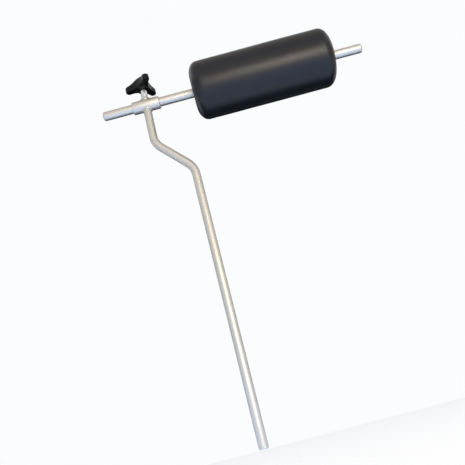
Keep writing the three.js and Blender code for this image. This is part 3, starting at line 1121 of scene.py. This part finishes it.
@dataclass
class Knob:
    """Three-lobed knob: arms that slope down from a round crown, all edges well rounded."""

    head: Vector
    # Turn from one lobe pointing straight away from the roller, in radians.
    turned_by: float = -0.05
    tip_reach: float = 34.5
    lobe_width: float = 13.5
    valley: float = 13.0
    skirt: float = 12.8
    skirt_height: float = 3.0
    skirt_rounding: float = 1.0
    socket_chamfer: float = 0.5
    lobes: int = 3
    socket: float = sizes_of("knob_hub").y / 2 + RUNNING_GAP
    recess: float = sizes_of("knob_cap").y / 2 + RUNNING_GAP
    edge: float = 2.0
    tip_height: float = 14.6
    # Above 1, the arms leave the crown gently and fall faster further out.
    arm_fall: float = 1.25
    crown_reach: float = 9.5
    crown_steps: int = 9
    recess_lip: float = 0.7
    # Rounded edge of the plug, as insets from its radius at drops below its top.
    plug_edge: tuple[tuple[float, float], ...] = ((0.0, 0.7), (0.2, 0.35), (0.7, 0.1))
    plug_dome: float = 0.02
    tip_points: int = 18
    hollow_points: int = 22

    def plan(self, inset: float) -> list[tuple[float, float]]:
        """Outline of the knob in plan, set in all round by an inset.

        Args:
            inset: Inset in millimetres.

        Returns:
            Points of the outline, the same number for every inset.
        """
        pitch = math.tau / self.lobes
        tip = self.lobe_width / 2
        centre = self.tip_reach - tip
        step = tip - self.valley
        away = (centre ** 2 - step ** 2) / (2 * (centre * math.cos(pitch / 2) + step))
        hollow = away - self.valley
        half = math.atan2(away * math.sin(pitch / 2), away * math.cos(pitch / 2) - centre)
        points = []
        for lobe in range(self.lobes):
            heading = math.pi + self.turned_by + lobe * pitch
            between = heading + pitch / 2
            for index in range(self.tip_points):
                angle = heading - half + 2 * half * index / self.tip_points
                points.append((
                    centre * math.cos(heading) + (tip - inset) * math.cos(angle),
                    centre * math.sin(heading) + (tip - inset) * math.sin(angle),
                ))
            start = heading + half + math.pi
            sweep = pitch - 2 * half
            for index in range(self.hollow_points):
                angle = start + sweep * index / self.hollow_points
                points.append((
                    away * math.cos(between) + (hollow + inset) * math.cos(angle),
                    away * math.sin(between) + (hollow + inset) * math.sin(angle),
                ))
        return points

    def between(self, radius: float, inset: float, share: float) -> list[tuple[float, float]]:
        """Blend a circle into the knob's outline.

        Args:
            radius: Radius of the circle, in millimetres.
            inset: Inset of the outline, in millimetres.
            share: Share of the outline, from 0 to 1.

        Returns:
            Points of the blended ring.
        """
        points = []
        for x, y in self.plan(inset):
            reach = math.hypot(x, y)
            grown = radius / reach + (1 - radius / reach) * share
            points.append((x * grown, y * grown))
        return points

    def top_height(self, reach: float, full: float) -> float:
        """Height of the knob's top above its underside at a distance from its axis.

        Args:
            reach: Distance from the axis, in millimetres.
            full: Height of the crown, in millimetres.

        Returns:
            The height, in millimetres.
        """
        share = min(max((reach - self.crown_reach) / (self.tip_reach - self.crown_reach), 0.0), 1.0)
        ease = math.sin(share * math.pi / 2) ** self.arm_fall
        return full - (full - self.tip_height) * ease

    def rings(self) -> list[list[Vector]]:
        """List the knob's rings from the floor of its socket round to the floor of its recess.

        Returns:
            The rings, each with its points.
        """
        low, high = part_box("knob")
        full = (high.z - low.z) / MM
        origin = Vector((self.head.x, self.head.y, low.z))
        hub_top = (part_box("knob_hub")[1].z - low.z) / MM + RUNNING_GAP
        cap_floor = (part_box("knob_cap")[0].z - low.z) / MM - RUNNING_GAP

        def flat(points: Profile, z: float) -> list[Vector]:
            """Place a ring level, at a height above the knob's underside."""
            return [origin + Vector((x, y, z)) * MM for x, y in points]

        def crowned(points: Profile, sink: float) -> list[Vector]:
            """Place a ring on the knob's sloping top, or sunk below it."""
            return [
                origin + Vector((x, y, self.top_height(math.hypot(x, y), full) - sink)) * MM
                for x, y in points
            ]

        quarter = quarter_turn(5)
        skirt_edge = self.skirt - self.skirt_rounding
        rings = [
            flat(self.between(self.socket, 0, 0), hub_top),
            flat(self.between(self.socket, 0, 0), self.socket_chamfer),
            flat(self.between(self.socket + self.socket_chamfer, 0, 0), 0.0),
            flat(self.between(skirt_edge - 0.8, 0, 0), 0.0),
            flat(self.between(skirt_edge, 0, 0), 0.3),
            flat(self.between(skirt_edge + 0.3, self.edge, 0.02), self.skirt_rounding),
            flat(self.between(skirt_edge + 0.4, self.edge, 0.04), 0.8 * self.skirt_height),
            flat(self.between(skirt_edge + 0.5, self.edge, 0.1), self.skirt_height),
        ]
        rings += [
            flat(self.between(skirt_edge + 0.5, self.edge, s), self.skirt_height)
            for s in (0.35, 0.65, 0.88)
        ]
        rings += [
            flat(
                self.plan(self.edge * (1 - math.sin(t))),
                self.skirt_height + self.edge * (1 - math.cos(t)),
            )
            for t in quarter
        ]
        rings += [
            crowned(self.plan(self.edge * (1 - math.cos(t))), self.edge * (1 - math.sin(t)))
            for t in quarter
        ]
        rim = self.recess + self.recess_lip
        rings += [
            crowned(self.between(rim, self.edge, 1 - step / self.crown_steps), 0.0)
            for step in range(1, self.crown_steps + 1)
        ]
        rings += [
            crowned(self.between(self.recess + 0.2, 0, 0), 0.15),
            crowned(self.between(self.recess, 0, 0), 0.5),
            flat(self.between(self.recess, 0, 0), cap_floor),
        ]
        return rings

    def cap(self) -> BMesh:
        """Turn the plug that covers the end of the hub.

        Returns:
            The plug's mesh.
        """
        low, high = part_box("knob_cap")
        radius = self.recess - RUNNING_GAP
        bottom = (low.z - self.head.z) / MM
        top = (high.z - self.head.z) / MM
        return turn([
            (0, bottom), (radius, bottom),
            *((radius - inset, top - drop) for inset, drop in self.plug_edge),
            (radius * 0.6, top - self.plug_dome), (0, top),
        ], Axis.POST, self.head, steps=96)

    def build(self, finish: Finishes) -> None:
        """Build the knob and its plug.

        Args:
            finish: Finishes of the object.
        """
        publish(loft(self.rings()), "knob_body", "knob", "knob",
                finish.knob, crease=50.0)
        publish(self.cap(), "knob_plug", "knob_cap", "knob", finish.knob)


@dataclass
class CrossBar:
    """Round bar with rounded ends, and the retaining rings and washers that it carries."""

    head: Vector
    radius: float = sizes_of("bar").z / 2
    end_rounding: float = 4.0
    groove_depth: float = 0.5
    groove_play: float = 0.2
    clip_width: float = 2.8
    lug_radius: float = 1.9
    lug_hole: float = 0.8
    # The lugs stand a hair proud of the ring, so that their faces don't lie in its faces.
    lug_proud: float = 0.02
    gap_half_angle: float = 0.35
    clip_edge: float = 0.12
    washer_edge: float = 0.15

    def bar(self) -> BMesh:
        """Turn the bar with a groove at each end of the roller.

        Returns:
            The bar's mesh.
        """
        low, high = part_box("bar")
        start, end = (low.x - self.head.x) / MM, (high.x - self.head.x) / MM
        quarter = quarter_turn(5)
        shoulder = self.radius - self.end_rounding
        profile: Profile = [(0, start)]
        profile += [
            (shoulder + self.end_rounding * math.sin(t),
             start + self.end_rounding * (1 - math.cos(t)))
            for t in quarter
        ]
        for node in ("circlip_left", "circlip_right"):
            near = (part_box(node)[0].x - self.head.x) / MM - self.groove_play
            far = (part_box(node)[1].x - self.head.x) / MM + self.groove_play
            floor = self.radius - self.groove_depth
            profile += [(self.radius, near), (floor, near), (floor, far), (self.radius, far)]
        profile += [
            (shoulder + self.end_rounding * math.cos(t),
             end - self.end_rounding * (1 - math.sin(t)))
            for t in quarter
        ]
        profile.append((0, end))
        return turn(profile, Axis.BAR, self.head, steps=96)

    def clip(self, node: str) -> BMesh:
        """Make a retaining ring: an open ring with two holed lugs at its gap.

        Args:
            node: CAD node of the ring.

        Returns:
            The ring's mesh.
        """
        low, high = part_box(node)
        inner = self.radius - self.groove_depth + self.groove_play
        outer = inner + self.clip_width
        thickness = (high.x - low.x) / MM
        origin = Vector((low.x, self.head.y, self.head.z))
        shape = bmesh.new()
        gap = Matrix.Rotation(math.pi + self.gap_half_angle, 3, "X")
        corners = [(inner, 0), (outer, 0), (outer, thickness), (inner, thickness)]
        spots = [
            shape.verts.new(origin + gap @ (Vector((along, 0, radius)) * MM))
            for radius, along in corners
        ]
        face = shape.faces.new(spots)
        bmesh.ops.spin(
            shape, geom=[face, *face.edges, *face.verts], cent=origin, axis=Axis.BAR.value,
            dvec=(0, 0, 0), angle=math.tau - 2 * self.gap_half_angle, steps=72,
            use_merge=False, use_normal_flip=False, use_duplicate=False,
        )
        bmesh.ops.recalc_face_normals(shape, faces=shape.faces)
        reach = outer - self.lug_radius / 2
        for side in (-1, 1):
            turned = math.pi + side * (self.gap_half_angle + self.lug_radius / reach)
            centre = origin + Matrix.Rotation(turned, 3, "X") @ Vector((0, 0, reach * MM))
            near, far = -self.lug_proud, thickness + self.lug_proud
            lug = turn(ring([
                (self.lug_hole, near), (self.lug_radius, near), (self.lug_radius, far),
                (self.lug_hole, far),
            ]), Axis.BAR, centre, steps=32)
            add_mesh(shape, lug)
        soften(shape, self.clip_edge, segments=2, steeper_than=50.0)
        return shape

    def washer(self, node: str) -> BMesh:
        """Make a plain washer.

        Args:
            node: CAD node of the washer.

        Returns:
            The washer's mesh.
        """
        low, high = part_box(node)
        outer = (high.z - low.z) / 2 / MM
        thickness = (high.x - low.x) / MM
        origin = Vector((low.x, self.head.y, self.head.z))
        bore = self.radius + RUNNING_GAP
        shape = turn(
            ring([(bore, 0), (outer, 0), (outer, thickness), (bore, thickness)]), Axis.BAR, origin
        )
        soften(shape, self.washer_edge, segments=2)
        return shape

    def build(self, finish: Finishes) -> None:
        """Build the bar, its rings and its washers.

        Args:
            finish: Finishes of the object.
        """
        publish(self.bar(), "round_bar", "bar", "bar", finish.bar)
        for end in ("left", "right"):
            publish(self.clip("circlip_" + end), "retaining_ring_" + end, "circlip_" + end, "bar",
                    finish.spring)
            publish(self.washer("washer_" + end), "thrust_washer_" + end, "washer_" + end, "bar",
                    finish.stud)


@dataclass
class Roller:
    """Padded roller: a tight cover on firm foam, on a core tube with a bush in each end."""

    head: Vector
    radius: float = sizes_of("roller_cover").z / 2
    length: float = sizes_of("roller_cover").x
    corner_along: float = 20.0
    corner_across: float = 28.0
    cover: float = 2.0
    core: float = sizes_of("core_tube").z / 2
    core_wall: float = 2.0
    tuck: float = 2.6
    tuck_reach: float = 9.0
    crown: float = 0.3
    # Slow waves that the foam gives the skin: their height, and their length along and across.
    wave_height: float = 0.2
    wave_along: float = 55.0
    wave_across: float = 30.0
    # Slack between the skin's inner face and the foam.
    slack: float = 0.6
    foam_shrink: float = 1.2
    foam_corner_along: float = 18.0
    foam_corner_across: float = 20.0
    foam_edge: float = 5.0
    core_edge: float = 0.3
    bush_edge: float = 0.5
    facets: int = 160
    corner_steps: int = 12
    side_steps: int = 40

    def middle(self) -> Vector:
        """Find the middle of the roller on the bar's axis."""
        return Vector((middle_of("roller_cover").x, self.head.y, self.head.z))

    def outside(self) -> Profile:
        """Section of the cover's outer face, from the bore of one end to the bore of the other.

        Returns:
            The section.
        """
        half = self.length / 2
        bore = self.core + RUNNING_GAP
        foot = self.radius - self.corner_across
        quarter = quarter_turn(self.corner_steps)
        # The end face runs in towards the bore, where the cover is tucked round the core.
        tucked = [
            (bore + self.tuck_reach * s, -half + self.tuck * (1 - math.sin(s * math.pi / 2)))
            for s in (0.0, 0.12, 0.27, 0.45, 0.7, 1.0)
        ]
        corner = [
            (foot + self.corner_across * math.sin(t), -half + self.corner_along * (1 - math.cos(t)))
            for t in quarter
        ]
        low_side = tucked + corner
        straight = half - self.corner_along
        side = [
            (self.radius, -straight + 2 * straight * step / self.side_steps)
            for step in range(1, self.side_steps)
        ]
        high_side = [(radius, -along) for radius, along in reversed(low_side)]
        return low_side + side + high_side

    def skin(self) -> BMesh:
        """Make the cover: tight over the foam, with slow shallow waves, and open at the core.

        Returns:
            The cover's mesh.
        """
        half = self.length / 2
        outer = self.outside()
        bore = self.core + RUNNING_GAP
        lip = half - self.tuck - self.cover
        inner_radius = self.radius - self.cover - self.slack
        # The inner corners are plain slants that stay inside the rounded outer ones.
        shoulder = inner_radius - self.corner_across * 0.75
        straight = lip - RUNNING_GAP - self.corner_along * 0.8
        inside = [
            (bore, lip), (shoulder, lip), (inner_radius, straight),
            (inner_radius, -straight), (shoulder, -lip), (bore, -lip),
        ]
        shape = turn(ring(outer + inside), Axis.BAR, self.middle(), steps=self.facets)
        self.settle(shape, inner_radius)
        return shape

    def settle(self, shape: BMesh, inner_radius: float) -> None:
        """Draw the cover in a little towards its ends and give it the foam's slow waves.

        Args:
            shape: Mesh of the cover.
            inner_radius: Radius of its inner face, which is left alone, in millimetres.
        """
        centre = self.middle()
        for spot in shape.verts:
            place = (spot.co - centre) / MM
            reach = math.hypot(place.y, place.z)
            if reach < inner_radius + self.cover / 2:
                continue
            along = place.x / (self.length / 2)
            sink = self.crown * along ** 2
            wave = self.wave_height * noise.noise(Vector((
                place.x / self.wave_along, place.y / self.wave_across, place.z / self.wave_across,
            )))
            drawn = (reach - sink + wave) / reach
            spot.co = centre + Vector((place.x, place.y * drawn, place.z * drawn)) * MM

    def foam(self) -> BMesh:
        """Turn the foam body under the cover.

        Returns:
            The foam's mesh.
        """
        low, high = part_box("foam_roll")
        half = (high.x - low.x) / 2 / MM - self.tuck
        radius = (high.z - low.z) / 2 / MM - self.foam_shrink
        bore = self.core + RUNNING_GAP
        shoulder = radius - self.foam_corner_across
        straight = half - self.foam_corner_along
        shape = turn(ring([
            (bore, -half), (shoulder, -half), (radius, -straight), (radius, straight),
            (shoulder, half), (bore, half),
        ]), Axis.BAR, self.middle(), steps=96)
        soften(shape, self.foam_edge, segments=4, steeper_than=25.0)
        return shape

    def core_tube(self) -> BMesh:
        """Turn the core tube.

        Returns:
            The tube's mesh.
        """
        half = sizes_of("core_tube").x / 2
        bore = self.core - self.core_wall
        shape = turn(
            ring([(bore, -half), (self.core, -half), (self.core, half), (bore, half)]),
            Axis.BAR, self.middle(),
        )
        soften(shape, self.core_edge, segments=2)
        return shape

    def bush(self, node: str) -> BMesh:
        """Turn one plain bush.

        Args:
            node: CAD node of the bush.

        Returns:
            The bush's mesh.
        """
        low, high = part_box(node)
        outer = (high.z - low.z) / 2 / MM
        length = (high.x - low.x) / MM
        bore = sizes_of("bar").z / 2 + RUNNING_GAP
        origin = Vector((low.x, self.head.y, self.head.z))
        shape = turn(
            ring([(bore, 0), (outer, 0), (outer, length), (bore, length)]), Axis.BAR, origin
        )
        soften(shape, self.bush_edge, segments=2)
        return shape

    def build(self, finish: Finishes) -> None:
        """Build the cover, the foam, the core tube and the bushes.

        Args:
            finish: Finishes of the object.
        """
        skin = publish(self.skin(), "roller_skin", "roller_cover", "roller",
                       finish.cover, crease=60.0)
        foam = publish(self.foam(), "roller_foam", "foam_roll", "roller", finish.foam)
        publish(self.core_tube(), "roller_core", "core_tube", "roller", finish.core)
        for end in ("left", "right"):
            publish(self.bush("bush_" + end), "plain_bush_" + end, "bush_" + end, "roller",
                    finish.bush)


# ---------------------------------------------------------------- studio


@dataclass(frozen=True)
class Panel:
    """A panel beside the object that only shows as a reflection in it.

    A level panel lies flat under the object. The others face it.
    """

    name: str
    place: tuple[float, float, float]
    size: tuple[float, float]
    colour: int
    strength: float
    level: bool = False


@dataclass
class Studio:
    """Pale floor, white surround, one soft lamp, reflected panels and the camera.

    Places and sizes are in metres, but for the lens, and angles are in degrees.
    """

    middle: Vector
    floor_gap: float = 0.02
    floor_size: float = 16.0
    floor_colour: int = 0xD8DADC
    floor_lift: float = 0.68
    white: int = 0xFBFCFE
    fill: float = 0.35
    lamp_place: tuple[float, float, float] = (0.8, -2.4, 0.45)
    lamp_size: tuple[float, float] = (1.3, 1.0)
    lamp_power: float = 29.0
    lamp_colour: int = 0xFFF0DC
    film_width: float = 36.0
    nearest: float = 0.02
    lens: float = 42.32
    eye: tuple[float, float, float] = (0.0449, -0.8908, 0.0013)
    yaw: float = -0.51
    pitch: float = 21.64
    roll: float = 14.72
    panels: tuple[Panel, ...] = (
        Panel("panel_front", (0.9, -2.9, 0.85), (3.2, 2.6), 0xFFF5E2, 0.68),
        Panel("panel_front_left", (-2.1, -2.1, 0.6), (2.2, 2.8), 0xE2E0DC, 0.9),
        Panel("panel_left", (-2.5, 0.3, 0.6), (2.4, 2.8), 0xBCC6C8, 1.0),
        Panel("panel_front_right", (2.9, -1.3, 0.6), (2.0, 2.8), 0xF4EAD0, 0.9),
        Panel("panel_right", (2.7, 0.7, 0.6), (2.2, 2.8), 0xC8C4AC, 1.0),
        Panel("panel_over", (0.1, -0.3, 2.4), (3.4, 2.6), 0xD0CBC2, 1.0),
        Panel("panel_behind", (0.1, 2.6, 1.1), (4.4, 2.3), 0x2A3030, 1.0),
        Panel("panel_under", (0.1, -0.5, -0.015), (4.0, 1.4), 0xCEDFFC, 1.42, level=True),
        Panel("panel_under_behind", (0.1, 1.4, -0.015), (5.0, 2.3), 0x28343C, 1.0, level=True),
    )

    def surround(self) -> None:
        """Set a white surround that the camera and reflections see, and a softer fill elsewhere."""
        world = bpy.data.worlds.new("white_surround")
        world.use_nodes = True
        tree = world.node_tree
        tree.nodes.clear()
        strength = add_node(tree, "MapRange", {
            "Value": plainly_seen(tree), "To Min": self.fill, "To Max": 1.0,
        })
        shade = add_node(tree, "Background", {
            "Color": linear(self.white), "Strength": strength.outputs["Result"],
        })
        add_node(tree, "OutputWorld", {"Surface": shade.outputs["Background"]})
        bpy.context.scene.world = world

    def floor(self) -> None:
        """Lay a plain pale floor under the foot."""
        half = self.floor_size / 2
        shape = bmesh.new()
        bmesh.ops.create_grid(shape, x_segments=1, y_segments=1, size=half)
        bmesh.ops.translate(shape, verts=shape.verts, vec=(0, 0, -self.floor_gap))
        mesh = bpy.data.meshes.new("floor")
        shape.to_mesh(mesh)
        shape.free()
        material, tree, _ = start_material("pale_floor")
        lift = add_node(tree, "Math", {0: plainly_seen(tree), 1: self.floor_lift},
                        operation="MULTIPLY")
        end_material(tree, {
            "Base Color": linear(self.floor_colour), "Roughness": 0.95, "Specular IOR Level": 0.0,
            "Emission Color": linear(self.white), "Emission Strength": lift.outputs[0],
        })
        mesh.materials.append(material)
        ground = bpy.data.objects.new("floor", mesh)
        bpy.context.scene.collection.objects.link(ground)

    def lamp(self) -> None:
        """Hang a soft rectangular lamp in front, facing the object."""
        data = bpy.data.lights.new("key_lamp", "AREA")
        data.shape = "RECTANGLE"
        data.size, data.size_y = self.lamp_size
        data.energy = self.lamp_power
        data.color = linear(self.lamp_colour)[:3]
        lamp = bpy.data.objects.new("key_lamp", data)
        lamp.location = Vector(self.lamp_place)
        lamp.rotation_euler = (self.middle - lamp.location).to_track_quat("-Z", "Y").to_euler()
        bpy.context.scene.collection.objects.link(lamp)

    def panel(self, panel: Panel) -> None:
        """Stand a panel that only reflections see.

        Args:
            panel: The panel.
        """
        shape = bmesh.new()
        bmesh.ops.create_grid(shape, x_segments=1, y_segments=1, size=0.5)
        bmesh.ops.scale(shape, verts=shape.verts, vec=(panel.size[0], panel.size[1], 1))
        place = Vector(panel.place)
        aim = Vector((0, 0, 1)) if panel.level else self.middle - place
        turn_to = aim.to_track_quat("Z", "Y").to_matrix().to_4x4()
        bmesh.ops.transform(shape, matrix=Matrix.Translation(place) @ turn_to, verts=shape.verts)
        mesh = bpy.data.meshes.new(panel.name)
        shape.to_mesh(mesh)
        shape.free()
        material, tree, _ = start_material(panel.name)
        glow = add_node(tree, "Emission", {
            "Color": linear(panel.colour), "Strength": panel.strength,
        })
        add_node(tree, "OutputMaterial", {"Surface": glow.outputs["Emission"]})
        mesh.materials.append(material)
        card = bpy.data.objects.new(panel.name, mesh)
        for ray in ("camera", "diffuse", "transmission", "volume_scatter", "shadow"):
            setattr(card, "visible_" + ray, False)
        bpy.context.scene.collection.objects.link(card)

    def camera(self) -> None:
        """Place the camera."""
        yaw, pitch, roll = (math.radians(angle) for angle in (self.yaw, self.pitch, self.roll))
        ahead = Vector((
            math.sin(yaw) * math.cos(pitch), math.cos(yaw) * math.cos(pitch), math.sin(pitch),
        ))
        level = Vector((math.cos(yaw), -math.sin(yaw), 0))
        rise = level.cross(ahead)
        right = math.cos(roll) * level - math.sin(roll) * rise
        up = math.sin(roll) * level + math.cos(roll) * rise
        data = bpy.data.cameras.new("camera")
        data.lens = self.lens
        data.sensor_width = self.film_width
        data.clip_start = self.nearest
        camera = bpy.data.objects.new("camera", data)
        turned = Matrix((right, up, -ahead)).transposed().to_4x4()
        camera.matrix_world = Matrix.Translation(Vector(self.eye)) @ turned
        bpy.context.scene.collection.objects.link(camera)
        bpy.context.scene.camera = camera

    def build(self) -> None:
        """Set up the surround, the floor, the camera, the panels and the lamp."""
        bpy.context.scene.view_settings.view_transform = "Standard"
        self.surround()
        self.floor()
        self.camera()
        for panel in self.panels:
            self.panel(panel)
        self.lamp()


# ---------------------------------------------------------------- assembly


def main() -> None:
    """Build every sub-assembly over the frame, then the studio."""
    logging.basicConfig(level=logging.INFO, format="%(message)s")
    head = middle_of("cross_sleeve")
    finish = Finishes()
    for part in (Post(head), Head(head), ClampScrew(head), Knob(head), CrossBar(head), Roller(head)):
        part.build(finish)
        log.info("built %s", type(part).__name__)
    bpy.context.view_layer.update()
    Studio(sum(CAD_BOX, Vector()) / 2).build()


if __name__ == "__main__":
    main()
